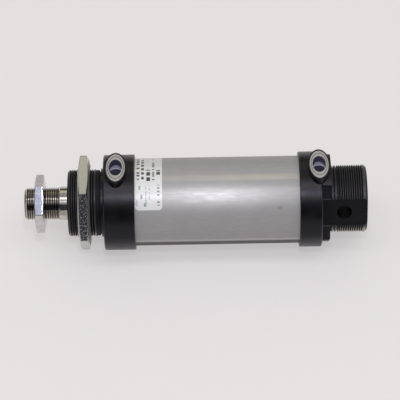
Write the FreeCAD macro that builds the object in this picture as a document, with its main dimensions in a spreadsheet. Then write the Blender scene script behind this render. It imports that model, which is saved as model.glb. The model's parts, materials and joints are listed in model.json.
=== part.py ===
import FreeCAD, Part
import math
import os

import Sketcher

# A double-acting pneumatic cylinder with a round barrel and moulded heads, retracted.
# Its axis is X and the rod points to -X. The origin is on the axis, in the plane of the front head's
# mounting shoulder. Both ports point to +Z. Lengths are in millimetres, angles in degrees.

DRIVING_SIZES = [
    # barrel
    ("tube_bore", 50.0),
    ("tube_wall", 4.3),
    ("tube_visible_length", 109.5),
    ("socket_depth", 5.2),
    ("socket_end_gap", 0.2),
    ("spigot_length", 6.0),
    ("spigot_clearance", 0.05),
    ("stroke", 80.0),
    ("end_clearance", 0.3),
    # heads
    ("head_diameter", 64.0),
    ("head_edge", 0.8),
    ("front_head_width", 20.7),
    ("nose_length", 24.0),
    ("mount_thread_diameter", 45.0),
    ("mount_thread_pitch", 1.5),
    ("mount_thread_chamfer", 1.4),
    ("relief_diameter", 42.0),
    ("relief_length", 1.1),
    ("plain_band_diameter", 44.0),
    ("plain_band_length", 2.5),
    ("pilot_diameter", 46.0),
    ("pilot_length", 1.8),
    ("rear_head_width", 14.9),
    ("rear_step_diameter", 57.4),
    ("rear_step_width", 5.6),
    ("rear_step_edge", 0.8),
    ("port_pad_width", 6.1),
    ("port_pad_angle", 52.0),
    ("rear_neck_length", 5.4),
    ("neck_ring_diameter", 44.4),
    ("neck_ring_width", 1.1),
    ("neck_ring_spacing", 2.2),
    ("rear_thread_length", 19.3),
    ("rear_core_diameter", 26.0),
    ("rear_core_depth", 6.0),
    ("flats_across", 40.0),
    ("flats_angle", 69.7),
    ("pivot_hole_diameter", 10.0),
    ("pivot_hole_from_end", 15.5),
    ("air_cavity_radius", 15.0),
    ("rear_cavity_radius", 14.5),
    ("rear_cavity_depth", 16.0),
    # ports
    ("port_from_front", 8.5),
    ("port_from_rear_head", 13.1),
    ("port_thread_diameter", 9.728),
    ("port_thread_minor", 8.566),
    ("port_thread_pitch", 0.907),
    ("port_boss_half_width", 7.2),
    ("port_boss_half_length", 13.5),
    ("port_boss_height", 34.2),
    ("port_flange_half_width", 6.35),
    ("port_flange_half_length", 12.2),
    ("port_flange_height", 34.5),
    ("port_flange_thickness", 1.6),
    ("port_flange_edge", 0.4),
    ("port_groove_half_width", 5.5),
    ("port_groove_half_length", 10.0),
    ("port_groove_width", 0.4),
    ("port_pocket_half_width", 4.45),
    ("port_pocket_half_length", 7.2),
    ("port_pocket_depth", 5.8),
    ("insert_sleeve_half_width", 5.95),
    ("insert_sleeve_half_length", 8.8),
    ("insert_floor", 1.2),
    ("insert_radius", 5.6),
    ("insert_bottom", 20.0),
    ("air_passage_radius", 2.5),
    # rod
    ("rod_diameter", 22.6),
    ("rod_reach", 53.3),
    ("rod_thread_diameter", 22.0),
    ("rod_thread_length", 23.8),
    ("rod_thread_pitch", 1.5),
    ("rod_thread_run_out", 1.3),
    ("rod_tip_chamfer", 1.5),
    ("rod_centre_radius", 2.2),
    ("rod_spigot_diameter", 14.0),
    ("rod_tail_length", 10.0),
    ("bush_wall", 2.0),
    ("bush_length", 15.0),
    ("bush_clearance", 0.03),
    ("rod_hole_clearance", 0.6),
    ("gland_land", 1.2),
    ("rod_seal_radius", 15.5),
    ("rod_seal_width", 6.0),
    ("wiper_radius", 16.0),
    ("wiper_width", 3.6),
    ("lip_clearance", 0.05),
    # piston
    ("piston_clearance", 0.4),
    ("piston_seal_bottom", 20.5),
    ("piston_seal_width", 4.2),
    ("piston_seal_margin", 1.8),
    ("wear_ring_bottom", 23.1),
    ("wear_ring_width", 8.0),
    ("magnet_inner", 16.0),
    ("magnet_outer", 20.0),
    ("magnet_thickness", 4.0),
    ("side_clearance", 0.1),
    ("bumper_thickness", 2.5),
    ("bumper_inner", 16.5),
    ("bumper_outer", 22.5),
    ("washer_radius", 12.0),
    ("washer_thickness", 1.5),
    ("piston_nut_across_flats", 22.0),
    ("piston_nut_height", 7.0),
    # nuts
    ("nut_clearance", 0.05),
    ("nut_mouth_chamfer", 0.8),
    ("rod_nut_across_flats", 34.0),
    ("rod_nut_height", 7.0),
    ("rod_nut_reach", 46.6),
    ("rod_nut_angle", 35.7),
    ("mounting_nut_across_flats", 58.0),
    ("mounting_nut_height", 8.2),
    ("mounting_nut_reach", 17.3),
    ("mounting_nut_angle", 61.6),
    # seal rings and label
    ("head_ring_section", 2.0),
    ("head_ring_groove_width", 2.8),
    ("head_ring_groove_bottom", 22.9),
    ("rod_ring_section", 1.9),
    ("label_width", 18.0),
    ("label_gap", 0.5),
    ("label_thickness", 0.12),
    ("label_corner", 2.5),
    ("label_front_angle", 53.0),
    ("label_back_angle", 57.0),
]

THREAD_DEPTH = 0.6134  # of a 60 degree external thread, as a share of its pitch
THREAD_ROOT = 0.125  # width of the flat at the thread's root, as a share of its pitch
FLANK_SLOPE = math.tan(math.radians(30))
HEX_CHAMFER = 0.42  # radius where a nut's chamfer starts, as a share of its width
HEX_CHAMFER_SLOPE = math.tan(math.radians(11.5))

document = FreeCAD.newDocument("pneumatic_cylinder")
sheet = document.addObject("Spreadsheet::Sheet", "Sizes")
sub_parts = []


class Size:
    """A length or angle that carries its number and the expression that gives it from the sheet."""

    def __init__(self, value, text):
        self.value = value
        self.text = text

    def __add__(self, other):
        other = as_size(other)
        return Size(self.value + other.value, f"({self.text} + {other.text})")

    def __sub__(self, other):
        other = as_size(other)
        return Size(self.value - other.value, f"({self.text} - {other.text})")

    def __mul__(self, other):
        other = as_size(other)
        return Size(self.value * other.value, f"({self.text} * {other.text})")

    def __truediv__(self, other):
        other = as_size(other)
        return Size(self.value / other.value, f"({self.text} / {other.text})")

    def __neg__(self):
        return Size(-self.value, f"(0 - {self.text})")


def as_size(number):
    """The number as a Size."""
    if isinstance(number, Size):
        return number
    return Size(float(number), repr(float(number)))


class Sheet:
    """The driving sizes, one attribute each, written to the spreadsheet with their names as aliases."""

    def __init__(self, sizes):
        for row, (name, number) in enumerate(sizes, start=1):
            sheet.set(f"A{row}", name.replace("_", " "))
            sheet.set(f"B{row}", str(number))
            sheet.setAlias(f"B{row}", name)
            setattr(self, name, Size(number, f"Sizes.{name}"))
        document.recompute()


size = Sheet(DRIVING_SIZES)

# ---- places along the axis, from the front head's shoulder ----
front_socket_floor = size.front_head_width - size.socket_depth
front_spigot_face = front_socket_floor + size.spigot_length
rear_head_front = size.front_head_width + size.tube_visible_length
rear_socket_floor = rear_head_front + size.socket_depth
rear_spigot_face = rear_socket_floor - size.spigot_length
rear_step_start = rear_head_front + size.rear_head_width
rear_step_end = rear_step_start + size.rear_step_width
rear_thread_start = rear_step_end + size.rear_neck_length
rear_end = rear_thread_start + size.rear_thread_length
piston_rear = rear_spigot_face - size.bumper_thickness - size.end_clearance
piston_front = front_spigot_face + size.bumper_thickness + size.end_clearance + size.stroke
piston_length = piston_rear - piston_front
front_port_place = size.port_from_front
rear_port_place = rear_head_front + size.port_from_rear_head
port_pocket_floor = size.port_flange_height - size.port_pocket_depth
port_flange_bottom = size.port_flange_height - size.port_flange_thickness

# ---- radii ----
bore_radius = size.tube_bore / 2
tube_radius = bore_radius + size.tube_wall
head_radius = size.head_diameter / 2
rod_radius = size.rod_diameter / 2
spigot_radius = bore_radius - size.spigot_clearance
rod_thread_radius = size.rod_thread_diameter / 2
mount_thread_radius = size.mount_thread_diameter / 2
relief_radius = size.relief_diameter / 2
neck_ring_radius = size.neck_ring_diameter / 2
piston_radius = bore_radius - size.piston_clearance
sliding_seal_radius = bore_radius - size.lip_clearance
zero = as_size(0)


def bind(thing, name, value):
    """Set a property to a size and tie it to the sheet."""
    value = as_size(value)
    setattr(thing, name, value.value)
    thing.setExpression(name, value.text)


def place(thing, along, up=0.0, turn=None):
    """Put a thing on the cylinder's axis, or up from it, turned about its own zero."""
    along = as_size(along)
    up = as_size(up)
    rotation = turn or FreeCAD.Rotation()
    thing.Placement = FreeCAD.Placement(FreeCAD.Vector(along.value, 0, up.value), rotation)
    thing.setExpression("Placement.Base.x", along.text)
    thing.setExpression("Placement.Base.z", up.text)


def along_axis(roll=0.0):
    """Turns a shape made along Z so that it lies along X, then rolls it about X."""
    return FreeCAD.Rotation(FreeCAD.Vector(1, 0, 0), roll) * FreeCAD.Rotation(FreeCAD.Vector(0, 1, 0), 90)


def keep(thing, label):
    """Name a finished sub-part."""
    thing.Label = label
    sub_parts.append(thing)
    return thing


def origin_plane(body):
    """The body's own XY plane."""
    return next(item for item in body.Origin.OriginFeatures if item.Role == "XY_Plane")


def outline(body, name, corners):
    """A closed outline of straight edges in the body's XY plane, each corner tied to the sheet.

    A corner is a pair: how far along the axis it lies, and how far out from it.
    """
    corners = [(as_size(along), as_size(out)) for along, out in corners]
    sketch = body.newObject("Sketcher::SketchObject", name)
    sketch.AttachmentSupport = (origin_plane(body), [""])
    sketch.MapMode = "FlatFace"
    points = [FreeCAD.Vector(along.value, out.value, 0) for along, out in corners]
    edges = [Part.LineSegment(start, end) for start, end in zip(points, points[1:] + points[:1])]
    sketch.addGeometry(edges, False)
    count = len(points)
    rules = [Sketcher.Constraint("Coincident", edge, 2, (edge + 1) % count, 1) for edge in range(count)]
    expressions = {}
    for corner, (along, out) in enumerate(corners):
        for kind, own_axis, coordinate in (("DistanceX", -2, along), ("DistanceY", -1, out)):
            if coordinate.value == 0:
                rules.append(Sketcher.Constraint("PointOnObject", corner, 1, own_axis))
            else:
                expressions[len(rules)] = coordinate.text
                rules.append(Sketcher.Constraint(kind, -1, 1, corner, 1, coordinate.value))
    sketch.addConstraint(rules)
    for number, text in expressions.items():
        sketch.setExpression(f"Constraints[{number}]", text)
    return sketch


def turned_body(name, corners, start=0.0, up=0.0, turn=None):
    """A body turned about its own X axis from an outline, put at its start along the cylinder."""
    body = document.addObject("PartDesign::Body", name)
    sketch = outline(body, name + "_outline", corners)
    turned = body.newObject("PartDesign::Revolution", name + "_turned")
    turned.Profile = sketch
    turned.ReferenceAxis = (sketch, ["H_Axis"])
    turned.Angle = 360.0
    place(body, start, up, turn)
    document.recompute()
    return body


def cut_thread(body, name, first, length, pitch, crest_radius, inward=True):
    """Cut a row of 60 degree V grooves, one per pitch, from first along the body's axis.

    Inward grooves make an outside thread, and outward ones the thread of a hole.
    """
    sign = -1.0 if inward else 1.0
    count = int(length.value / pitch.value)
    overshoot = 0.1
    root_radius = crest_radius + pitch * (sign * THREAD_DEPTH)
    mouth_radius = crest_radius - pitch * (sign * overshoot)
    middle = first + pitch / 2
    root_half = pitch * (THREAD_ROOT / 2)
    mouth_half = root_half + pitch * ((THREAD_DEPTH + overshoot) * FLANK_SLOPE)
    corners = [
        (middle - mouth_half, mouth_radius),
        (middle - root_half, root_radius),
        (middle + root_half, root_radius),
        (middle + mouth_half, mouth_radius),
    ]
    before = body.Shape.Volume
    sketch = outline(body, name + "_outline", corners)
    groove = body.newObject("PartDesign::Groove", name + "_groove")
    groove.Profile = sketch
    groove.ReferenceAxis = (sketch, ["H_Axis"])
    groove.Angle = 360.0
    document.recompute()
    row = body.newObject("PartDesign::LinearPattern", name + "_row")
    row.Originals = [groove]
    row.Direction = (sketch, ["H_Axis"])
    row.Occurrences = count
    bind(row, "Length", pitch * (count - 1))
    body.Tip = row
    document.recompute()
    one_groove = math.pi * crest_radius.value * pitch.value**2 * THREAD_DEPTH
    if before - body.Shape.Volume < 0.5 * count * one_groove:
        raise RuntimeError(f"{name} was not cut")


def solid_of(kind, name, sizes, along=0.0, up=0.0, turn=None):
    """A primitive with its sizes tied to the sheet."""
    thing = document.addObject("Part::" + kind, name)
    for property_name, value in sizes.items():
        bind(thing, property_name, value)
    place(thing, along, up, turn)
    return thing


def cylinder(name, radius, height, along=0.0, up=0.0, turn=None):
    """A plain cylinder along its own Z."""
    return solid_of("Cylinder", name, {"Radius": radius, "Height": height}, along, up, turn)


def cut(name, base, *tools):
    """The base with each tool cut away."""
    for number, tool in enumerate(tools, start=1):
        result = document.addObject("Part::Cut", f"{name}_cut_{number}")
        result.Base = base
        result.Tool = tool
        base = result
    return base


def joined(name, *shapes):
    """Several shapes as one solid."""
    result = document.addObject("Part::MultiFuse", name)
    result.Shapes = list(shapes)
    result.Refine = True
    return result


def oval_block(name, half_width, half_length, bottom, top, along):
    """A block with an oval outline, longer around the barrel than along it, standing on Z."""
    oval = document.addObject("Part::Ellipse", name + "_outline")
    bind(oval, "MajorRadius", half_length)
    bind(oval, "MinorRadius", half_width)
    place(oval, along, bottom, FreeCAD.Rotation(FreeCAD.Vector(0, 0, 1), 90))
    block = document.addObject("Part::Extrusion", name)
    block.Base = oval
    block.DirMode = "Custom"
    block.Dir = FreeCAD.Vector(0, 0, 1)
    block.Solid = True
    bind(block, "LengthFwd", top - bottom)
    return block


def hex_nut(label, start, across, height, hole_radius, angle=0.0):
    """A nut with chamfered corners; one of its flats faces angle degrees from +Z towards -Y."""
    turn = along_axis(angle - 30)
    blank = solid_of("Prism", label + "_hexagon", {"Circumradius": across / math.sqrt(3), "Height": height},
                     start, 0.0, turn)
    blank.Polygon = 6
    narrow = across * HEX_CHAMFER
    wide = narrow + height / HEX_CHAMFER_SLOPE
    opening = solid_of("Cone", label + "_front_chamfer",
                       {"Radius1": narrow, "Radius2": wide, "Height": height}, start, 0.0, turn)
    closing = solid_of("Cone", label + "_back_chamfer",
                       {"Radius1": wide, "Radius2": narrow, "Height": height}, start, 0.0, turn)
    body = document.addObject("Part::MultiCommon", label + "_blank")
    body.Shapes = [blank, opening, closing]
    mouth = size.nut_mouth_chamfer
    hole = turned_body(label + "_hole", [
        (0, 0),
        (0, hole_radius + mouth),
        (mouth, hole_radius),
        (height - mouth, hole_radius),
        (height, hole_radius + mouth),
        (height, 0),
    ], start)
    return keep(cut(label, body, hole), label)


def ring(label, start, width, inner, outer):
    """A plain ring round the axis."""
    body = turned_body(label, [(0, inner), (0, outer), (width, outer), (width, inner)], start)
    return keep(body, label)


def seal_ring(label, middle, ring_radius, section):
    """A round-section seal ring about the axis."""
    torus = solid_of("Torus", label, {"Radius1": ring_radius, "Radius2": section / 2}, middle, 0.0, along_axis())
    return keep(torus, label)


def lip_seal(label, start, width, inner, outer, opens_forward):
    """A U-shaped seal whose channel opens towards the air: to the front, or to the rear."""
    middle = (inner + outer) / 2
    channel_half = (outer - inner) * 0.18
    channel_depth = width * 0.55
    corners = [
        (0, inner),
        (0, middle - channel_half),
        (channel_depth, middle),
        (0, middle + channel_half),
        (0, outer),
        (width, outer),
        (width, inner),
    ]
    if not opens_forward:
        corners = [(width - along, out) for along, out in reversed(corners)]
    return keep(turned_body(label, corners, start), label)


def barrel_tube():
    """The round tube, held in a socket in each head."""
    start = front_socket_floor + size.socket_end_gap
    length = rear_socket_floor - size.socket_end_gap - start
    keep(turned_body("barrel_tube", [
        (0, bore_radius),
        (0, tube_radius),
        (length, tube_radius),
        (length, bore_radius),
    ], start), "barrel_tube")


def port_parts(end, along):
    """The oval boss of a port, and the tools that make room for its insert and its air passage."""
    above = size.port_flange_height + 1
    boss = oval_block(end + "_boss", size.port_boss_half_width, size.port_boss_half_length,
                      tube_radius, size.port_boss_height, along)
    core_room = cylinder(end + "_core_room", size.insert_radius, port_pocket_floor - size.insert_bottom,
                         along, size.insert_bottom)
    sleeve_room = oval_block(end + "_sleeve_room", size.insert_sleeve_half_width, size.insert_sleeve_half_length,
                             port_pocket_floor - size.insert_floor, above, along)
    flange_room = oval_block(end + "_flange_room", size.port_flange_half_width, size.port_flange_half_length,
                             port_flange_bottom, above, along)
    passage_bottom = size.air_cavity_radius - size.air_passage_radius
    passage = cylinder(end + "_passage", size.air_passage_radius, size.insert_bottom - passage_bottom + 1,
                       along, passage_bottom)
    return boss, [core_room, sleeve_room, flange_room, passage]


def port_insert(label, along):
    """A metal insert: an oval flange with a fine groove, an oval pocket, and a threaded hole under it."""
    height = port_pocket_floor - size.insert_bottom
    hole_radius = size.port_thread_minor / 2
    mouth = as_size(0.6)
    above = size.port_flange_height + 1
    core = turned_body(label + "_core", [
        (0, hole_radius),
        (0, size.insert_radius),
        (height, size.insert_radius),
        (height, hole_radius + mouth),
        (height - mouth, hole_radius),
    ], along, size.insert_bottom, FreeCAD.Rotation(FreeCAD.Vector(0, 1, 0), -90))
    cut_thread(core, label + "_thread", mouth, height - mouth * 2, size.port_thread_pitch, hole_radius,
               inward=False)
    sleeve = oval_block(label + "_sleeve", size.insert_sleeve_half_width, size.insert_sleeve_half_length,
                        port_pocket_floor - size.insert_floor, size.port_flange_height, along)
    flange = oval_block(label + "_flange", size.port_flange_half_width, size.port_flange_half_length,
                        port_flange_bottom, size.port_flange_height, along)
    core_hole = cylinder(label + "_core_hole", size.insert_radius, height, along, size.insert_bottom)
    pocket = oval_block(label + "_pocket", size.port_pocket_half_width, size.port_pocket_half_length,
                        port_pocket_floor, above, along)
    groove_bottom = size.port_flange_height - size.port_groove_width
    groove = cut(label + "_groove_ring",
                 oval_block(label + "_groove", size.port_groove_half_width, size.port_groove_half_length,
                            groove_bottom, above, along),
                 oval_block(label + "_land", size.port_groove_half_width - size.port_groove_width,
                            size.port_groove_half_length - size.port_groove_width, groove_bottom, above, along))
    upper = cut(label + "_upper", joined(label + "_upper_solid", sleeve, flange), core_hole, pocket, groove)
    body = joined(label + "_body", core, upper)
    document.recompute()
    return keep(softened(label, body, size.port_flange_edge, is_flange_rim), label)


def is_flange_rim(edge):
    """Is this edge the outer rim on top of an insert's flange?"""
    box = edge.BoundBox
    flat = box.ZLength < 0.01
    on_top = abs(box.ZMax - size.port_flange_height.value) < 0.01
    widest = box.YLength > 1.9 * size.port_flange_half_length.value
    return flat and on_top and widest


def softened(label, base, radius, choose):
    """The base with its chosen edges rounded."""
    numbers = [number for number, edge in enumerate(base.Shape.Edges, start=1) if choose(edge)]
    if not numbers:
        raise RuntimeError(f"{label} has no edge to round")
    rounded = document.addObject("Part::Fillet", label + "_rounded")
    rounded.Base = base
    rounded.Edges = [(number, radius.value, radius.value) for number in numbers]
    return rounded


def front_head():
    """The moulded front head: threaded nose, pilot, shoulder, port boss, tube socket and rod gland."""
    nose = size.nose_length
    tip = mount_thread_radius - size.mount_thread_chamfer
    rod_hole = rod_radius + size.rod_hole_clearance
    pilot_start = nose - size.pilot_length
    relief_start = pilot_start - size.relief_length
    band_start = relief_start - size.plain_band_length
    band_radius = size.plain_band_diameter / 2
    seal_start = size.wiper_width + size.gland_land
    seal_end = seal_start + size.rod_seal_width
    bush_start = seal_end + size.gland_land
    bush_end = bush_start + size.bush_length
    edge = size.head_edge
    body = turned_body("front_head_turned", [
        (0, size.wiper_radius),
        (0, tip),
        (size.mount_thread_chamfer, mount_thread_radius),
        (band_start, mount_thread_radius),
        (band_start, band_radius),
        (relief_start, band_radius),
        (relief_start, relief_radius),
        (pilot_start, relief_radius),
        (pilot_start, size.pilot_diameter / 2),
        (nose, size.pilot_diameter / 2),
        (nose, head_radius - edge),
        (nose + edge, head_radius),
        (nose + size.front_head_width - edge / 2, head_radius),
        (nose + size.front_head_width, head_radius - edge / 2),
        (nose + size.front_head_width, tube_radius),
        (nose + front_socket_floor, tube_radius),
        (nose + front_socket_floor, spigot_radius),
        (nose + front_spigot_face - size.spigot_length * 0.7, spigot_radius),
        (nose + front_spigot_face - size.spigot_length * 0.7, size.head_ring_groove_bottom),
        (nose + front_spigot_face - size.spigot_length * 0.7 + size.head_ring_groove_width,
         size.head_ring_groove_bottom),
        (nose + front_spigot_face - size.spigot_length * 0.7 + size.head_ring_groove_width, spigot_radius),
        (nose + front_spigot_face, spigot_radius),
        (nose + front_spigot_face, size.air_cavity_radius),
        (bush_end, size.air_cavity_radius),
        (bush_end, rod_radius + size.bush_wall),
        (bush_start, rod_radius + size.bush_wall),
        (bush_start, rod_hole),
        (seal_end, rod_hole),
        (seal_end, size.rod_seal_radius),
        (seal_start, size.rod_seal_radius),
        (seal_start, rod_hole),
        (size.wiper_width, rod_hole),
        (size.wiper_width, size.wiper_radius),
    ], -nose)
    cut_thread(body, "nose_thread", size.mount_thread_chamfer, band_start - size.mount_thread_chamfer,
               size.mount_thread_pitch, mount_thread_radius)
    boss, port_tools = port_parts("front", front_port_place)
    keep(cut("front_head", joined("front_head_solid", body, boss), *port_tools), "front_head")


def rear_head():
    """The moulded rear head: tube socket, port boss and pad, and a stepped threaded boss with two flats."""
    start = rear_spigot_face
    edge = size.head_edge
    step_edge = size.rear_step_edge
    step_radius = size.rear_step_diameter / 2
    ring_groove = rear_socket_floor - size.spigot_length * 0.3 - size.head_ring_groove_width - start
    thread_start = rear_thread_start - start
    neck = rear_step_end - start
    end = rear_end - start
    core_radius = size.rear_core_diameter / 2
    first_ring = neck + size.neck_ring_width * 0.9
    second_ring = first_ring + size.neck_ring_spacing
    body = turned_body("rear_head_turned", [
        (0, size.rear_cavity_radius),
        (0, spigot_radius),
        (ring_groove, spigot_radius),
        (ring_groove, size.head_ring_groove_bottom),
        (ring_groove + size.head_ring_groove_width, size.head_ring_groove_bottom),
        (ring_groove + size.head_ring_groove_width, spigot_radius),
        (size.spigot_length, spigot_radius),
        (size.spigot_length, tube_radius),
        (rear_head_front - start, tube_radius),
        (rear_head_front - start, head_radius - edge / 2),
        (rear_head_front - start + edge / 2, head_radius),
        (rear_step_start - start - edge, head_radius),
        (rear_step_start - start, head_radius - edge),
        (rear_step_start - start, step_radius),
        (neck - step_edge, step_radius),
        (neck, step_radius - step_edge),
        (neck, relief_radius),
        (first_ring, relief_radius),
        (first_ring, neck_ring_radius),
        (first_ring + size.neck_ring_width, neck_ring_radius),
        (first_ring + size.neck_ring_width, relief_radius),
        (second_ring, relief_radius),
        (second_ring, neck_ring_radius),
        (second_ring + size.neck_ring_width, neck_ring_radius),
        (second_ring + size.neck_ring_width, relief_radius),
        (thread_start, relief_radius),
        (thread_start, mount_thread_radius),
        (end - size.mount_thread_chamfer, mount_thread_radius),
        (end, mount_thread_radius - size.mount_thread_chamfer),
        (end, core_radius + 1),
        (end - 1, core_radius),
        (end - size.rear_core_depth, core_radius),
        (end - size.rear_core_depth, 0),
        (size.rear_cavity_depth, 0),
        (size.rear_cavity_depth, size.rear_cavity_radius),
    ], start)
    cut_thread(body, "rear_thread", thread_start, size.rear_thread_length - size.mount_thread_chamfer,
               size.mount_thread_pitch, mount_thread_radius)
    half_pad = size.port_pad_angle / 2
    pad = solid_of("Cylinder", "port_pad",
                   {"Radius": head_radius, "Height": size.port_pad_width, "Angle": size.port_pad_angle},
                   rear_step_start, 0.0, along_axis(180 - half_pad.value))
    pad_hollow = cylinder("port_pad_hollow", step_radius - 2, size.port_pad_width, rear_step_start, 0.0,
                          along_axis())
    boss, port_tools = port_parts("rear", rear_port_place)
    flats = [rear_flat(f"rear_flat_{side}", size.flats_angle.value + 180 * side) for side in (0, 1)]
    turned = cut("rear_head_flatted", body, *flats)
    solid = joined("rear_head_solid", turned, boss, cut("port_pad", pad, pad_hollow))
    pivot_turn = FreeCAD.Rotation(FreeCAD.Vector(1, 0, 0), size.flats_angle.value)
    pivot = solid_of("Cylinder", "pivot_hole",
                     {"Radius": size.pivot_hole_diameter / 2, "Height": size.head_diameter},
                     rear_end - size.pivot_hole_from_end)
    middle = pivot_turn.multVec(FreeCAD.Vector(0, 0, -head_radius.value))
    pivot.Placement = FreeCAD.Placement(pivot.Placement.Base + middle, pivot_turn)
    pivot.setExpression("Placement.Base.z", None)
    keep(cut("rear_head", solid, *port_tools, pivot), "rear_head")


def rear_flat(name, angle):
    """The block cut away to leave one flat, whose face looks angle degrees from +Z towards -Y."""
    turn = FreeCAD.Rotation(FreeCAD.Vector(1, 0, 0), angle)
    block = solid_of("Box", name, {
        "Length": rear_end - rear_step_start + 1,
        "Width": size.head_diameter,
        "Height": head_radius,
    }, rear_step_start)
    corner = turn.multVec(FreeCAD.Vector(0, -head_radius.value, size.flats_across.value / 2))
    block.Placement = FreeCAD.Placement(block.Placement.Base + corner, turn)
    block.setExpression("Placement.Base.z", None)
    return block


def rod_gland():
    """The wiper, the rod seal and the guide bush, in their seats in the nose."""
    lip = rod_radius + size.lip_clearance
    nose = -size.nose_length
    wiper_lip = as_size(0.8)
    keep(turned_body("rod_wiper", [
        (wiper_lip, lip + 1.6),
        (wiper_lip, size.wiper_radius),
        (wiper_lip + size.wiper_width, size.wiper_radius),
        (wiper_lip + size.wiper_width, lip + 1.2),
        (wiper_lip + 1, lip),
        (0, lip),
        (0, lip + 0.5),
    ], nose - wiper_lip), "rod_wiper")
    seal_start = nose + size.wiper_width + size.gland_land
    lip_seal("rod_seal", seal_start + size.side_clearance, size.rod_seal_width - size.side_clearance * 2,
             lip, size.rod_seal_radius, opens_forward=False)
    bush_start = seal_start + size.rod_seal_width + size.gland_land
    ring("rod_bush", bush_start, size.bush_length, rod_radius + size.bush_clearance,
         rod_radius + size.bush_wall)


def head_rings_and_bumpers():
    """The seal ring on each head's spigot, and the bumper ring on each head's inner face."""
    half_groove = size.head_ring_groove_width / 2
    ring_radius = bore_radius - size.lip_clearance - size.head_ring_section / 2
    from_face = size.spigot_length * 0.7 - half_groove
    seal_ring("front_head_ring", front_spigot_face - from_face, ring_radius, size.head_ring_section)
    rear_middle = rear_socket_floor - size.spigot_length * 0.3 - half_groove
    seal_ring("rear_head_ring", rear_middle, ring_radius, size.head_ring_section)
    ring("front_bumper", front_spigot_face, size.bumper_thickness, size.bumper_inner, size.bumper_outer)
    ring("rear_bumper", rear_spigot_face - size.bumper_thickness, size.bumper_thickness,
         size.bumper_inner, size.bumper_outer)


def piston_rod():
    """The rod: threaded end, polished shank, and the spigot and thread that hold the piston."""
    reach = size.rod_reach
    tip = size.rod_tip_chamfer
    shoulder = reach + piston_front
    tail = reach + piston_rear + size.rod_tail_length
    spigot = size.rod_spigot_diameter / 2
    thread_end = size.rod_thread_length
    run_out_start = thread_end - size.rod_thread_run_out
    body = turned_body("piston_rod", [
        (size.rod_centre_radius, 0),
        (0, size.rod_centre_radius),
        (0, rod_thread_radius - tip),
        (tip, rod_thread_radius),
        (run_out_start, rod_thread_radius),
        (run_out_start, rod_thread_radius - 0.5),
        (thread_end, rod_radius),
        (shoulder, rod_radius),
        (shoulder, spigot),
        (tail - 1, spigot),
        (tail, spigot - 1),
        (tail, 0),
    ], -reach)
    cut_thread(body, "rod_thread", tip, run_out_start - tip, size.rod_thread_pitch, rod_thread_radius)
    tail_thread = size.piston_nut_height
    cut_thread(body, "rod_tail_thread", tail - 1 - tail_thread, tail_thread, size.rod_thread_pitch, spigot)
    keep(body, "piston_rod")


def piston():
    """The two piston halves with the magnet between them, and what holds them on the rod."""
    half = piston_length / 2
    spigot = size.rod_spigot_diameter / 2
    seal_start = size.piston_seal_margin
    seal_end = seal_start + size.piston_seal_width
    wear_start = half - size.wear_ring_width / 2
    magnet_start = half - size.magnet_thickness / 2
    ring_groove_start = as_size(1.5)
    ring_groove_end = ring_groove_start + size.rod_ring_section + 0.5
    ring_groove_radius = spigot + size.rod_ring_section + 0.05
    rim = as_size(0.6)
    outer = [
        (0, piston_radius - rim),
        (rim, piston_radius),
        (seal_start, piston_radius),
        (seal_start, size.piston_seal_bottom),
        (seal_end, size.piston_seal_bottom),
        (seal_end, piston_radius),
        (wear_start, piston_radius),
        (wear_start, size.wear_ring_bottom),
        (half, size.wear_ring_bottom),
        (half, size.magnet_outer),
        (magnet_start, size.magnet_outer),
        (magnet_start, size.magnet_inner),
        (half, size.magnet_inner),
        (half, spigot),
    ]
    front_bore = [
        (ring_groove_end, spigot),
        (ring_groove_end, ring_groove_radius),
        (ring_groove_start, ring_groove_radius),
        (ring_groove_start, spigot),
        (0, spigot),
    ]
    keep(turned_body("piston_front_half", outer + front_bore, piston_front), "piston_front_half")
    mirrored = [(half - along, out) for along, out in outer + [(0, spigot)]]
    keep(turned_body("piston_rear_half", mirrored, piston_front + half), "piston_rear_half")
    gap = size.side_clearance / 2
    ring("piston_magnet", piston_front + magnet_start + gap, size.magnet_thickness - gap * 2,
         size.magnet_inner + gap, size.magnet_outer - gap)
    ring_middle = piston_front + (ring_groove_start + ring_groove_end) / 2
    seal_ring("piston_rod_ring", ring_middle, spigot + size.rod_ring_section / 2 + 0.03, size.rod_ring_section)
    ring("piston_washer", piston_rear, size.washer_thickness, spigot, size.washer_radius)
    hex_nut("piston_nut", piston_rear + size.washer_thickness, size.piston_nut_across_flats,
            size.piston_nut_height, spigot)


def piston_seals():
    """The two piston seals and the wear ring, which slide in the tube with the piston."""
    gap = size.side_clearance
    inner = size.piston_seal_bottom + size.lip_clearance
    width = size.piston_seal_width - gap * 2
    front_start = piston_front + size.piston_seal_margin + gap
    lip_seal("piston_seal_front", front_start, width, inner, sliding_seal_radius, opens_forward=True)
    rear_start = piston_rear - size.piston_seal_margin - size.piston_seal_width + gap
    lip_seal("piston_seal_rear", rear_start, width, inner, sliding_seal_radius, opens_forward=False)
    wear_start = piston_front + (piston_length - size.wear_ring_width) / 2 + gap
    ring("piston_wear_ring", wear_start, size.wear_ring_width - gap * 2,
         size.wear_ring_bottom + size.lip_clearance, sliding_seal_radius)


def rating_label():
    """The thin label wrapped over the tube beside the front head, with rounded corners."""
    start = size.front_head_width + size.label_gap
    sweep = size.label_front_angle + size.label_back_angle
    roll = 180 - size.label_back_angle.value
    wrap = solid_of("Cylinder", "rating_label_wrap",
                    {"Radius": tube_radius + size.label_thickness, "Height": size.label_width, "Angle": sweep},
                    start, 0.0, along_axis(roll))
    inside = cylinder("rating_label_inside", tube_radius, size.label_width, start, 0.0, along_axis())
    sheet_of_label = cut("rating_label", wrap, inside)
    document.recompute()
    keep(softened("rating_label", sheet_of_label, size.label_corner, is_label_corner), "rating_label")


def is_label_corner(edge):
    """Is this edge one of the label's four short corner edges?"""
    return edge.Length < 2 * size.label_thickness.value


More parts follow.
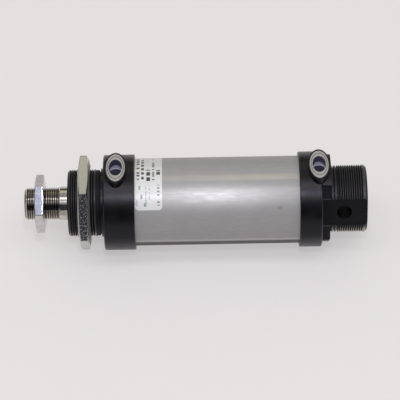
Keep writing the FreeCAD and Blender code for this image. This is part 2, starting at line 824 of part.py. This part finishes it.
def nuts():
    """The nut on the rod's thread and the mounting nut on the nose."""
    hex_nut("rod_nut", -size.rod_nut_reach, size.rod_nut_across_flats, size.rod_nut_height,
            rod_thread_radius + size.nut_clearance, size.rod_nut_angle.value)
    hex_nut("mounting_nut", -size.mounting_nut_reach, size.mounting_nut_across_flats,
            size.mounting_nut_height, mount_thread_radius + size.nut_clearance,
            size.mounting_nut_angle.value)


def check_and_write():
    """Stop at any failed object, then write each sub-part to its own STEP file."""
    document.recompute()
    for thing in document.Objects:
        if "Invalid" in thing.State or "Error" in thing.State:
            raise RuntimeError(f"{thing.Label} failed to compute: {thing.State}")
    os.makedirs("parts", exist_ok=True)
    for thing in sub_parts:
        shape = thing.Shape
        if shape.isNull() or not shape.isValid() or len(shape.Solids) != 1:
            raise RuntimeError(f"{thing.Label} is not one valid solid")
        shape.exportStep(f"parts/{thing.Label}.step")
        print(f"{thing.Label}: {shape.Volume:.1f} mm3")


barrel_tube()
front_head()
rear_head()
port_insert("front_port_insert", front_port_place)
port_insert("rear_port_insert", rear_port_place)
rod_gland()
head_rings_and_bumpers()
rating_label()
piston_rod()
piston()
piston_seals()
nuts()
check_and_write()
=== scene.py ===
import json
import math

import bpy
from mathutils import Matrix, Vector

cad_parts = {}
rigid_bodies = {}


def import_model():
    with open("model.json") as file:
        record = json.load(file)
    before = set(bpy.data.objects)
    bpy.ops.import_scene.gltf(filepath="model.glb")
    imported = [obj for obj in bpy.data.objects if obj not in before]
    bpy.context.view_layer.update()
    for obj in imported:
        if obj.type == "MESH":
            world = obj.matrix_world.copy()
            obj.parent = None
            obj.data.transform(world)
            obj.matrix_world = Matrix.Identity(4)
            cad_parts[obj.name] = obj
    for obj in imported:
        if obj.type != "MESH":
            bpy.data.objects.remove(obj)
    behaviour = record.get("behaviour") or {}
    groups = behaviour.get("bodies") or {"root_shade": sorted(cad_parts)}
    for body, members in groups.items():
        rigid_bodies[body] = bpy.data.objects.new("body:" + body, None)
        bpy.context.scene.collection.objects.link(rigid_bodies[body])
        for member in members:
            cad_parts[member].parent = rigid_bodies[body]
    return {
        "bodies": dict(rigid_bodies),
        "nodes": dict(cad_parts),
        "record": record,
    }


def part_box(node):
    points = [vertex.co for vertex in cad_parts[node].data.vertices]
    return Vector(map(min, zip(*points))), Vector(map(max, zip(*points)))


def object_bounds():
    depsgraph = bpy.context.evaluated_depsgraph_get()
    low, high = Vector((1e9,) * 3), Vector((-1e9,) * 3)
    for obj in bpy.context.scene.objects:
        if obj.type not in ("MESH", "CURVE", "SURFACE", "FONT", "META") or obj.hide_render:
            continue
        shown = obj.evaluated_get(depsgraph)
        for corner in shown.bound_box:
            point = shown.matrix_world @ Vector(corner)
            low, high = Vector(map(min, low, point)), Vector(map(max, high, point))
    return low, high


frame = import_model()
cad_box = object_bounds()

# A round pneumatic cylinder lying on a pale table, retracted. Its axis is X, the rod points to -X and the
# ports to +Z. Lengths are in metres.

MM = 0.001

# ---- places taken from the frame ----
LABEL_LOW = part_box("rating_label")[0]
NUT_LOW, NUT_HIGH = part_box("mounting_nut")
INSERT_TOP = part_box("front_port_insert")[1].z
FLOOR_HEIGHT = cad_box[0].z

# ---- sizes that the frame doesn't give ----
THREAD_RADIUS = 22.5 * MM
ROD_THREAD_RADIUS = 11.0 * MM
NUT_EDGE = 1.2 * MM
CLEAR_OF_ROD_NUT = 24 * MM  # further from the axis than the smaller nut reaches

# ---- a painted reflection and a knock on the tube, by their place along X ----
REFLECTION_START, REFLECTION_END = 85 * MM, 110 * MM
KNOCK_START, KNOCK_END = 115.8 * MM, 117.8 * MM

# ---- places round the axis in degrees, from first to last: 0 at the top, positive towards -Y ----
PRINT_START = -34
DENTED_FACET = (34, 92)
# painted light is keyed by these places: a bluish reflection on the smaller nut, a pale reflection of the
# table on the thread's crests below, and on the tube a warm reflection line, a shaded line, a highlight on
# the lower edge and painted shade on the underside
BLUE_REFLECTION_FACET = (8, 63)
TABLE_LIT_THREAD = (108, 170)
WARM_REFLECTION_LINE = (8, 13)
SHADED_LINE = (18, 23)
KNOCK = (52, 53.5)
LIT_LOWER_EDGE = (104, 107)
SHADED_UNDERSIDE = (111, 160)

# ---- the camera's view ----
VIEW_ELEVATION = math.radians(48)
VIEW_ROLL = math.radians(1.02)
VIEW_DISTANCE = 1.5
VIEW_WIDTH = 269 * MM
VIEW_CENTRE = Vector((64.1 * MM, 0, 0))
VIEW_RISE = 0.6 * MM
SENSOR_WIDTH = 36


def remove_defaults():
    """Take away the objects that a new Blender file starts with."""
    mine = set(frame["nodes"].values()) | set(frame["bodies"].values())
    for thing in list(bpy.data.objects):
        if thing not in mine:
            bpy.data.objects.remove(thing)


def direction(azimuth, elevation):
    """The way from the object to something seen at that azimuth and elevation, in degrees."""
    turn, rise = math.radians(azimuth), math.radians(elevation)
    return Vector((math.sin(turn) * math.cos(rise), -math.cos(turn) * math.cos(rise), math.sin(rise)))


def make_camera():
    """A long lens, far enough away to show the cylinder almost without perspective."""
    camera = bpy.data.objects.new("camera", bpy.data.cameras.new("camera"))
    bpy.context.scene.collection.objects.link(camera)
    back = direction(0, math.degrees(VIEW_ELEVATION))
    up = Vector((0, math.sin(VIEW_ELEVATION), math.cos(VIEW_ELEVATION)))
    facing = Matrix((Vector((1, 0, 0)), up, back)).transposed()
    rolled = facing @ Matrix.Rotation(-VIEW_ROLL, 3, "Z")
    place = VIEW_CENTRE + up * VIEW_RISE + back * VIEW_DISTANCE
    camera.matrix_world = Matrix.Translation(place) @ rolled.to_4x4()
    camera.data.sensor_width = SENSOR_WIDTH
    camera.data.lens = SENSOR_WIDTH * VIEW_DISTANCE / VIEW_WIDTH
    camera.data.clip_start = 0.05
    camera.data.clip_end = 20
    bpy.context.scene.camera = camera


# ---- materials ----

# the Mix node's sockets for colours, which come after those for numbers and vectors
MIX_FIRST, MIX_SECOND, MIX_RESULT = 6, 7, 2


class Surface:
    """A node-based material, with a short call for each kind of node that it needs."""

    def __init__(self, name):
        self.material = bpy.data.materials.new(name)
        self.material.use_nodes = True
        self.nodes = self.material.node_tree.nodes
        self.links = self.material.node_tree.links
        self.shader = self.nodes["Principled BSDF"]
        self.place = self.nodes.new("ShaderNodeTexCoord").outputs["Object"]
        self.normal = None

    def set(self, **values):
        """Plain numbers and colours on the shader's own sockets."""
        for name, value in values.items():
            self.shader.inputs[name.replace("_", " ")].default_value = value

    def feed(self, socket, value):
        """Link a socket to an output, or set it to a number."""
        if isinstance(value, bpy.types.NodeSocket):
            self.links.new(value, socket)
        else:
            socket.default_value = value

    def stretched(self, along=1.0, across=1.0, up=1.0):
        """The place on the object, with each axis scaled."""
        mapping = self.nodes.new("ShaderNodeMapping")
        self.links.new(self.place, mapping.inputs["Vector"])
        mapping.inputs["Scale"].default_value = (along, across, up)
        return mapping.outputs["Vector"]

    def noise(self, size, detail=3.0, roughness=0.55, place=None, distortion=0.0):
        """Soft noise whose blotches are about this size in metres."""
        noise = self.nodes.new("ShaderNodeTexNoise")
        self.links.new(place or self.place, noise.inputs["Vector"])
        noise.inputs["Scale"].default_value = 1 / size
        noise.inputs["Detail"].default_value = detail
        noise.inputs["Roughness"].default_value = roughness
        noise.inputs["Distortion"].default_value = distortion
        return noise.outputs["Fac"]

    def cells(self, size, place=None):
        """Distance to the nearest of a scatter of points about this far apart."""
        cells = self.nodes.new("ShaderNodeTexVoronoi")
        self.links.new(place or self.place, cells.inputs["Vector"])
        cells.inputs["Scale"].default_value = 1 / size
        return cells.outputs["Distance"]

    def span(self, value, low, high, to_low=0.0, to_high=1.0):
        """The value's stretch from low to high, mapped to another and clamped."""
        span = self.nodes.new("ShaderNodeMapRange")
        self.links.new(value, span.inputs["Value"])
        span.inputs["From Min"].default_value = low
        span.inputs["From Max"].default_value = high
        span.inputs["To Min"].default_value = to_low
        span.inputs["To Max"].default_value = to_high
        return span.outputs["Result"]

    def math(self, operation, first, second=0.0):
        """One arithmetic step."""
        step = self.nodes.new("ShaderNodeMath")
        step.operation = operation
        for socket, value in zip(step.inputs, (first, second)):
            self.feed(socket, value)
        return step.outputs["Value"]

    def blend(self, factor, first, second):
        """A colour between two colours."""
        mix = self.nodes.new("ShaderNodeMix")
        mix.data_type = "RGBA"
        self.feed(mix.inputs["Factor"], factor)
        for socket, colour in ((MIX_FIRST, first), (MIX_SECOND, second)):
            is_output = isinstance(colour, bpy.types.NodeSocket)
            self.feed(mix.inputs[socket], colour if is_output else (*colour, 1))
        return mix.outputs[MIX_RESULT]

    def bump(self, height, depth):
        """Relief of this depth in metres, laid over the relief made before it."""
        bump = self.nodes.new("ShaderNodeBump")
        self.links.new(height, bump.inputs["Height"])
        bump.inputs["Distance"].default_value = depth
        if self.normal:
            self.links.new(self.normal, bump.inputs["Normal"])
        self.normal = bump.outputs["Normal"]
        self.links.new(self.normal, self.shader.inputs["Normal"])

    def soften_edges(self, radius):
        """Light the sharp edges as if they were rounded to this radius in metres."""
        bevel = self.nodes.new("ShaderNodeBevel")
        bevel.samples = 8
        bevel.inputs["Radius"].default_value = radius
        self.normal = bevel.outputs["Normal"]
        self.links.new(self.normal, self.shader.inputs["Normal"])

    def colour(self, value):
        """The base colour: a node's output."""
        self.feed(self.shader.inputs["Base Color"], value)

    def roughness(self, value):
        """The roughness: a node's output."""
        self.feed(self.shader.inputs["Roughness"], value)

    def axes(self):
        """The three coordinates of the place on the object, which are along, across and up."""
        split = self.nodes.new("ShaderNodeSeparateXYZ")
        self.links.new(self.place, split.inputs[0])
        return split.outputs

    def around(self):
        """The angle round the cylinder's axis in degrees: 0 at the top, positive towards -Y."""
        _, across, up = self.axes()
        turn = self.math("ARCTAN2", self.math("MULTIPLY", across, -1.0), up)
        return self.math("MULTIPLY", turn, 180 / math.pi)

    def from_axis(self):
        """The distance from the cylinder's axis."""
        _, across, up = self.axes()
        squares = self.math("ADD", self.math("MULTIPLY", across, across), self.math("MULTIPLY", up, up))
        return self.math("SQRT", squares)

    def within(self, value, low, high, soft):
        """1 between low and high, falling to 0 over soft on either side."""
        rising = self.span(value, low - soft, low)
        falling = self.span(value, high, high + soft, 1.0, 0.0)
        return self.math("MULTIPLY", rising, falling)


def tube_finish():
    """Satin grey anodising, with drawn lines, flecks and a knock. Painted light: a warm reflection line, a
    dark shaded line, a highlight on the lower edge, shade towards the lower side, and a dark underside of
    painted shade.
    """
    s = Surface("tube_finish")
    s.set(Specular_IOR_Level=0.55, Anisotropic=0.95)
    tangent = s.nodes.new("ShaderNodeTangent")
    tangent.direction_type = "RADIAL"
    tangent.axis = "X"
    s.links.new(tangent.outputs[0], s.shader.inputs["Tangent"])
    blotch = s.noise(14 * MM, detail=4)
    lines = s.noise(0.5 * MM, detail=3, place=s.stretched(along=0.02))
    colour = s.blend(blotch, (0.40, 0.39, 0.39), (0.44, 0.43, 0.43))
    colour = s.blend(s.span(lines, 0.45, 0.75, 0, 0.35), colour, (0.36, 0.352, 0.355))
    angle = s.around()
    # painted shade: the tube is darker from 50 to 100 degrees round from the top
    colour = s.blend(s.span(angle, 50, 100, 0, 0.3), colour, (0.28, 0.272, 0.275))
    along, _, _ = s.axes()
    flecks = s.noise(1.5 * MM, detail=3, place=s.stretched(along=0.3))
    colour = s.blend(s.span(flecks, 0.5, 0.72, 0, 0.2), colour, (0.54, 0.53, 0.54))
    colour = s.blend(s.span(flecks, 0.28, 0.5, 0.16, 0), colour, (0.33, 0.325, 0.33))
    # painted reflection: a warm line of light near the top of the tube, strongest in the middle of its length
    reflection_strongest = s.within(along, REFLECTION_START, REFLECTION_END, 25 * MM)
    warm_reflection = s.math("MULTIPLY", s.within(angle, *WARM_REFLECTION_LINE, 3), s.span(blotch, 0.25, 0.6, 0.6, 1.0))
    warm_reflection = s.math("MULTIPLY", warm_reflection, s.span(reflection_strongest, 0, 1, 0.2, 0.42))
    colour = s.blend(warm_reflection, colour, (0.70, 0.61, 0.49))
    knock_length = s.within(along, KNOCK_START, KNOCK_END, 1 * MM)
    knock = s.math("MULTIPLY", knock_length, s.within(angle, *KNOCK, 2))
    colour = s.blend(s.math("MULTIPLY", knock, 0.45), colour, (0.16, 0.155, 0.155))
    # painted highlight: a pale thin line along the tube's lower edge, 104 to 107 degrees round
    lit_lower_edge = s.within(angle, *LIT_LOWER_EDGE, 2)
    colour = s.blend(s.math("MULTIPLY", lit_lower_edge, 0.3), colour, (0.72, 0.69, 0.66))
    # painted shade: a darker band between the warm line and the highlight, 18 to 23 degrees round
    shaded_line = s.within(angle, *SHADED_LINE, 5)
    colour = s.blend(s.math("MULTIPLY", shaded_line, 0.36), colour, (0.24, 0.235, 0.235))
    # painted shade: a dark, non-metallic band on the underside, 111 to 160 degrees round
    shaded_underside = s.within(angle, *SHADED_UNDERSIDE, 4)
    colour = s.blend(s.math("MULTIPLY", shaded_underside, 0.9), colour, (0.03, 0.028, 0.028))
    s.feed(s.shader.inputs["Metallic"], s.span(shaded_underside, 0, 1, 0.28, 0.0))
    scuffs = s.span(s.noise(2.2 * MM, detail=6, roughness=0.7), 0.74, 0.78)
    colour = s.blend(s.math("MULTIPLY", scuffs, 0.5), colour, (0.16, 0.155, 0.155))
    s.colour(colour)
    dulled = s.math("ADD", s.span(blotch, 0.3, 0.7, 0.28, 0.30), s.span(lines, 0.3, 0.7, -0.01, 0.01))
    s.roughness(s.math("ADD", dulled, s.span(flecks, 0.35, 0.65, 0.04, 0.0)))
    s.bump(s.noise(0.3 * MM, detail=2), 0.001 * MM)
    s.bump(lines, 0.0005 * MM)
    return s.material


def moulding_finish():
    """Black glass-filled nylon with a mould grain. The thread's crests carry a grey painted highlight, paler
    below where it stands for the lit table's reflection, and painted shade darkens the roots.
    """
    s = Surface("moulding_finish")
    s.set(Specular_IOR_Level=0.4, Specular_Tint=(0.93, 0.88, 1.0, 1))
    handled = s.noise(9 * MM, detail=5)
    grain = s.noise(0.22 * MM, detail=3)
    radius = s.from_axis()
    crest = s.within(radius, THREAD_RADIUS - 0.25 * MM, THREAD_RADIUS, 0.1 * MM)
    root_shade = s.span(radius, THREAD_RADIUS - 0.5 * MM, THREAD_RADIUS - 0.3 * MM, 1.0, 0.0)
    colour = s.blend(s.span(handled, 0.4, 0.75), (0.003, 0.003, 0.0032), (0.006, 0.0058, 0.0066))
    # painted highlight on the thread's crests: grey, and pale cream below, where it is a painted reflection
    # of the lit table
    table_reflection = s.within(s.around(), *TABLE_LIT_THREAD, 8)
    crest_highlight = s.blend(table_reflection, (0.06, 0.058, 0.06), (0.42, 0.40, 0.33))
    colour = s.blend(s.math("MULTIPLY", crest, 0.8), colour, crest_highlight)
    # painted shade: the thread's roots, and everything nearer the axis, are darker
    s.colour(s.blend(root_shade, colour, (0.002, 0.002, 0.002)))
    s.roughness(s.math("ADD", s.span(handled, 0.3, 0.7, 0.28, 0.38), s.math("MULTIPLY", root_shade, 0.3)))
    s.bump(grain, 0.02 * MM)
    return s.material


def zinc_finish():
    """Cloudy, pitted zinc plate on steel. The larger nut has a dented facet, painted shade on its other
    facets and a painted highlight on its edge strips; the smaller nut has a painted blue reflection on one
    facet.
    """
    s = Surface("zinc_finish")
    s.set(Metallic=1.0)
    s.soften_edges(1.1 * MM)
    cloud = s.noise(3 * MM, detail=5)
    colour = s.blend(s.span(cloud, 0.35, 0.7), (0.57, 0.57, 0.56), (0.69, 0.69, 0.68))
    along, _, _ = s.axes()
    angle = s.around()
    radius = s.from_axis()
    on_facet = s.within(angle, *DENTED_FACET, 2)
    on_rim = s.within(along, NUT_LOW.x + NUT_EDGE, NUT_HIGH.x - NUT_EDGE, 0.3 * MM)
    large = s.span(radius, CLEAR_OF_ROD_NUT, CLEAR_OF_ROD_NUT + 0.5 * MM)
    # painted shade: the larger nut is darker and yellower on its facets away from the dented one
    dull = s.math("MULTIPLY", large, s.span(on_facet, 0, 1, 0.45, 0.0))
    colour = s.blend(dull, colour, (0.42, 0.42, 0.38))
    # painted reflection: a mottled bluish cast on one facet of the smaller nut, 8 to 63 degrees round
    small_facet = s.math("MULTIPLY", s.within(angle, *BLUE_REFLECTION_FACET, 3), s.span(large, 0, 1, 1.0, 0.0))
    blue_reflection = s.math("MULTIPLY", small_facet, s.span(s.noise(1.3 * MM, detail=3), 0.35, 0.65, 0.45, 1.0))
    colour = s.blend(blue_reflection, colour, (0.38, 0.39, 0.50))
    # painted highlight: the larger nut's edge strips are lighter, and rougher
    lit_edge_strip = s.math("MULTIPLY", large, s.span(on_rim, 0, 1, 1.0, 0.0))
    colour = s.blend(s.math("MULTIPLY", lit_edge_strip, 0.8), colour, (0.88, 0.88, 0.84))
    pits = s.span(s.cells(1.1 * MM), 0.0, 0.35, 1.0, 0.0)
    s.colour(s.blend(s.math("MULTIPLY", pits, 0.35), colour, (0.30, 0.30, 0.29)))
    scratch = s.noise(0.5 * MM, detail=4, place=s.stretched(along=1.5, up=0.5), distortion=0.8)
    rough = s.math("ADD", s.span(cloud, 0.3, 0.7, 0.11, 0.17), s.span(scratch, 0.5, 0.7, 0, 0.06))
    s.roughness(s.math("ADD", rough, s.math("MULTIPLY", lit_edge_strip, 0.4)))
    s.bump(s.noise(1.6 * MM, detail=3), 0.012 * MM)
    dents = s.cells(1.3 * MM, place=s.stretched(along=1.3, up=0.7))
    wear = s.math("ADD", s.math("MULTIPLY", scratch, 0.3), s.span(dents, 0.1, 0.7))
    s.bump(s.math("MULTIPLY", wear, s.math("MULTIPLY", on_rim, on_facet)), 0.105 * MM)
    return s.material


def rod_finish():
    """Hard-chromed steel: fine turning marks round the axis, and painted shade darkening the roots of its
    threads.
    """
    s = Surface("rod_finish")
    s.set(Metallic=1.0)
    turning = s.noise(0.15 * MM, detail=3, place=s.stretched(across=0.01, up=0.01))
    stain = s.noise(4 * MM, detail=4)
    colour = s.blend(s.span(stain, 0.4, 0.7), (0.52, 0.49, 0.44), (0.68, 0.66, 0.62))
    root_shade = s.within(s.from_axis(), ROD_THREAD_RADIUS - 1.3 * MM, ROD_THREAD_RADIUS - 0.7 * MM, 0.4 * MM)
    # painted shade: the roots of the rod's thread are darker
    s.colour(s.blend(s.math("MULTIPLY", root_shade, 0.75), colour, (0.07, 0.06, 0.05)))
    s.roughness(s.span(turning, 0.3, 0.7, 0.10, 0.16))
    s.bump(turning, 0.001 * MM)
    return s.material


def insert_finish():
    """Dull nickel on the port inserts, with painted shade in a dark ring on the face and on the threads
    inside, and a painted pool of light on the ledge.
    """
    s = Surface("insert_finish")
    s.set(Metallic=0.85)
    dull = s.noise(2 * MM, detail=5)
    _, _, up = s.axes()
    inside = s.span(up, INSERT_TOP - 0.7 * MM, INSERT_TOP - 0.45 * MM, 1.0, 0.0)
    lit_ledge = s.within(up, INSERT_TOP - 6.2 * MM, INSERT_TOP - 5.6 * MM, 0.1 * MM)
    shade_ring = s.within(up, INSERT_TOP - 0.45 * MM, INSERT_TOP - 0.2 * MM, 0.1 * MM)
    face = s.blend(s.span(dull, 0.4, 0.7), (0.54, 0.53, 0.57), (0.68, 0.67, 0.71))
    # painted shade: a dark ring near the top of the insert's face
    face = s.blend(shade_ring, face, (0.16, 0.16, 0.19))
    # painted shade on the walls inside the port, darker and bluer low down and lighter towards the top, with
    # a painted pool of light on the ledge
    upper_wall = s.span(up, INSERT_TOP - 5 * MM, INSERT_TOP - 1 * MM)
    bore_light_and_shade = s.blend(upper_wall, (0.10, 0.10, 0.16), (0.20, 0.20, 0.28))
    bore_light_and_shade = s.blend(lit_ledge, bore_light_and_shade, (0.55, 0.55, 0.66))
    s.colour(s.blend(inside, face, bore_light_and_shade))
    s.roughness(s.math("ADD", s.span(dull, 0.3, 0.7, 0.30, 0.42), s.math("MULTIPLY", inside, 0.25)))
    s.bump(s.noise(0.2 * MM, detail=3), 0.006 * MM)
    return s.material


def print_column(s, place, width, first, last, period, share):
    """Printed dashes in one column round the label, from one angle to another. They stand for no letters."""
    along, _, _ = s.axes()
    column = s.within(along, place - width / 2, place + width / 2, 0.1 * MM)
    angle = s.around()
    reach = s.within(angle, first, last, 0.5)
    step = s.math("DIVIDE", angle, period)
    dash = s.math("LESS_THAN", s.math("FRACT", step), share)
    kept = s.nodes.new("ShaderNodeTexWhiteNoise")
    kept.noise_dimensions = "2D"
    cell = s.nodes.new("ShaderNodeCombineXYZ")
    s.links.new(s.math("FLOOR", step), cell.inputs[0])
    cell.inputs[1].default_value = place / MM
    s.links.new(cell.outputs[0], kept.inputs["Vector"])
    mark = s.math("MULTIPLY", dash, s.math("GREATER_THAN", kept.outputs["Value"], 0.25))
    return s.math("MULTIPLY", mark, s.math("MULTIPLY", column, reach))


def label_finish():
    """White printed film: columns of plain dashes in black, three small coloured marks, and painted shade
    darkening its upper part.
    """
    s = Surface("label_finish")
    s.set(Specular_IOR_Level=0.9)
    speck = s.noise(1.5 * MM, detail=4)
    colour = s.blend(speck, (0.88, 0.88, 0.89), (0.93, 0.93, 0.94))
    # painted shade: the label is darker towards its top
    colour = s.blend(s.span(s.around(), PRINT_START, 12, 0.9, 0.0), colour, (0.60, 0.595, 0.58))
    ink = (0.06, 0.058, 0.05)
    left = LABEL_LOW.x
    # each column's place and width in mm, first and last angle, period, inked share and strength
    columns = [
        (2.1, 1.8, PRINT_START, 7, 4.4, 0.6, 1.0),
        (2.1, 1.4, 10, 22, 5.0, 0.5, 0.8),
        (5.1, 1.6, PRINT_START, 14, 7.5, 0.55, 1.0),
        (8.9, 2.4, -4, 14, 8.5, 0.7, 1.0),
        (12.2, 1.5, PRINT_START, 13, 2.8, 0.7, 0.9),
        (15.5, 2.4, -3, 20, 5.8, 0.8, 1.0),
        (15.5, 1.4, 20, 47, 4.6, 0.5, 0.8),
        (7.2, 0.9, 22, 47, 2.2, 0.6, 0.6),
        (9.6, 0.9, 21, 48, 2.0, 0.6, 0.55),
        (1.2, 0.8, 38, 47, 2.0, 0.6, 0.55),
    ]
    for place, width, first, last, period, share, strength in columns:
        mark = print_column(s, left + place * MM, width * MM, first, last, period, share)
        colour = s.blend(s.math("MULTIPLY", mark, strength), colour, ink)
    along, _, _ = s.axes()
    # each coloured mark's place and width in mm, first and last angle, and colour
    marks = [
        (3.0, 1.1, 21, 26, (0.10, 0.30, 0.16)),
        (4.3, 1.2, 33, 38, (0.13, 0.15, 0.38)),
        (6.4, 1.1, 44, 48, (0.08, 0.32, 0.22)),
    ]
    for place, width, first, last, shade in marks:
        across = s.within(along, left + (place - width / 2) * MM, left + (place + width / 2) * MM, 0.15 * MM)
        spot = s.math("MULTIPLY", across, s.within(s.around(), first, last, 0.5))
        colour = s.blend(s.math("MULTIPLY", spot, 0.8), colour, shade)
    s.colour(colour)
    s.roughness(s.span(speck, 0.3, 0.7, 0.26, 0.34))
    s.bump(s.noise(0.4 * MM, detail=2), 0.003 * MM)
    return s.material


def rubber_finish(name, colour):
    """Matt moulded rubber with a little bloom."""
    s = Surface(name)
    bloom = s.noise(3 * MM, detail=4)
    lighter = tuple(channel * 1.8 + 0.01 for channel in colour)
    s.colour(s.blend(s.span(bloom, 0.4, 0.8), colour, lighter))
    s.roughness(s.span(bloom, 0.3, 0.7, 0.55, 0.75))
    s.bump(s.noise(0.2 * MM, detail=3), 0.01 * MM)
    return s.material


def machined_finish(name, colour, metallic, rough):
    """A turned piece: fine rings round the axis over a slightly uneven colour."""
    s = Surface(name)
    s.set(Metallic=metallic)
    turning = s.noise(0.2 * MM, detail=3, place=s.stretched(across=0.05, up=0.05))
    patch = s.noise(3 * MM, detail=4)
    darker = tuple(channel * 0.85 for channel in colour)
    s.colour(s.blend(patch, darker, colour))
    s.roughness(s.span(turning, 0.3, 0.7, rough - 0.08, rough + 0.08))
    s.bump(turning, 0.006 * MM)
    return s.material


def finish_nodes():
    """Give every CAD node the finish of its material slot."""
    finishes = {
        "satin_grey_tube": tube_finish(),
        "black_moulding": moulding_finish(),
        "insert_metal": insert_finish(),
        "zinc_plate": zinc_finish(),
        "polished_rod": rod_finish(),
        "label_film": label_finish(),
        "bush_bronze": machined_finish("bush_finish", (0.50, 0.33, 0.16), 1.0, 0.38),
        "piston_plastic": machined_finish("piston_finish", (0.74, 0.73, 0.69), 0.0, 0.42),
        "wear_ring_plastic": machined_finish("wear_ring_finish", (0.12, 0.16, 0.14), 0.0, 0.45),
        "magnet_ferrite": machined_finish("magnet_finish", (0.06, 0.06, 0.065), 0.3, 0.5),
        "seal_rubber": rubber_finish("seal_finish", (0.012, 0.012, 0.012)),
        "wiper_rubber": rubber_finish("wiper_finish", (0.015, 0.015, 0.016)),
        "bumper_rubber": rubber_finish("bumper_finish", (0.03, 0.03, 0.035)),
    }
    slot_of = {entry["node"]: entry["material_slot"] for entry in frame["record"]["subparts"]}
    for name, node in frame["nodes"].items():
        node.data.materials.clear()
        node.data.materials.append(finishes[slot_of[name]])


# ---- the table and the light ----

def make_floor():
    """A plain pale light table that runs past the view on every side: its own glow thins the shadows."""
    half = 6.0
    mesh = bpy.data.meshes.new("floor")
    corners = [(x * half, y * half, FLOOR_HEIGHT) for x, y in ((-1, -1), (1, -1), (1, 1), (-1, 1))]
    mesh.from_pydata(corners, [], [(0, 1, 2, 3)])
    floor = bpy.data.objects.new("floor", mesh)
    bpy.context.scene.collection.objects.link(floor)
    s = Surface("floor_finish")
    s.colour(s.blend(s.noise(0.08, detail=3), (0.42, 0.405, 0.40), (0.44, 0.425, 0.42)))
    s.set(Roughness=0.9, Specular_IOR_Level=0.2, Emission_Color=(1.0, 0.97, 0.985, 1), Emission_Strength=0.45)
    mesh.materials.append(s.material)


def make_card(name, first, second, colour):
    """A card along the table that only reflections see, between two edges given as (Y, height)."""
    mesh = bpy.data.meshes.new(name)
    half = 2.2
    corners = [(-half, *first), (half, *first), (half, *second), (-half, *second)]
    mesh.from_pydata(corners, [], [(0, 1, 2, 3)])
    card = bpy.data.objects.new(name, mesh)
    bpy.context.scene.collection.objects.link(card)
    s = Surface(name + "_finish")
    s.colour(s.blend(s.noise(0.1), colour, tuple(channel * 1.2 for channel in colour)))
    s.set(Roughness=1.0, Specular_IOR_Level=0.0)
    mesh.materials.append(s.material)
    card.visible_camera = False
    card.visible_diffuse = False
    card.visible_shadow = False
    card.visible_transmission = False


def soft_light(name, azimuth, elevation, distance, width, height, power, colour=(1, 1, 1)):
    """A rectangular soft light that faces the middle of the view, in degrees, metres and watts."""
    data = bpy.data.lights.new(name, "AREA")
    data.shape = "RECTANGLE"
    data.size = width
    data.size_y = height
    data.energy = power
    data.color = colour
    light = bpy.data.objects.new(name, data)
    bpy.context.scene.collection.objects.link(light)
    back = direction(azimuth, elevation)
    light.location = VIEW_CENTRE + back * distance
    light.rotation_euler = (-back).to_track_quat("-Z", "Y").to_euler()


def make_light():
    """A long key light overhead, a weak one in front, a small lamp, a warm fill behind, and a pale room."""
    soft_light("key_light", 0, 82, 1.6, 3.0, 0.32, 8)
    soft_light("front_light", 0, 60.5, 1.6, 3.0, 0.36, 1.7, (0.74, 0.83, 1.0))
    soft_light("lamp", 1.4, 61, 1.25, 0.07, 0.08, 2.0, (0.95, 0.95, 1.0))
    soft_light("fill_light", 180, 42, 1.6, 3.0, 0.64, 2.5, (1.0, 0.96, 0.66))
    world = bpy.data.worlds.new("room")
    world.use_nodes = True
    background = world.node_tree.nodes["Background"]
    background.inputs["Color"].default_value = (1.0, 0.99, 0.98, 1)
    background.inputs["Strength"].default_value = 0.4
    bpy.context.scene.world = world


remove_defaults()
make_camera()
make_floor()
make_card("front_card", (-1.3, FLOOR_HEIGHT), (-1.3, 1.15), (0.055, 0.055, 0.07))
make_card("back_card", (2.2, 0.55), (2.2, 1.9), (0.16, 0.145, 0.11))
make_card("table_card", (-1.3, FLOOR_HEIGHT + 1 * MM), (-0.045, FLOOR_HEIGHT + 1 * MM), (0.62, 0.61, 0.61))
make_light()
finish_nodes()
bpy.context.scene.view_settings.view_transform = "Standard"
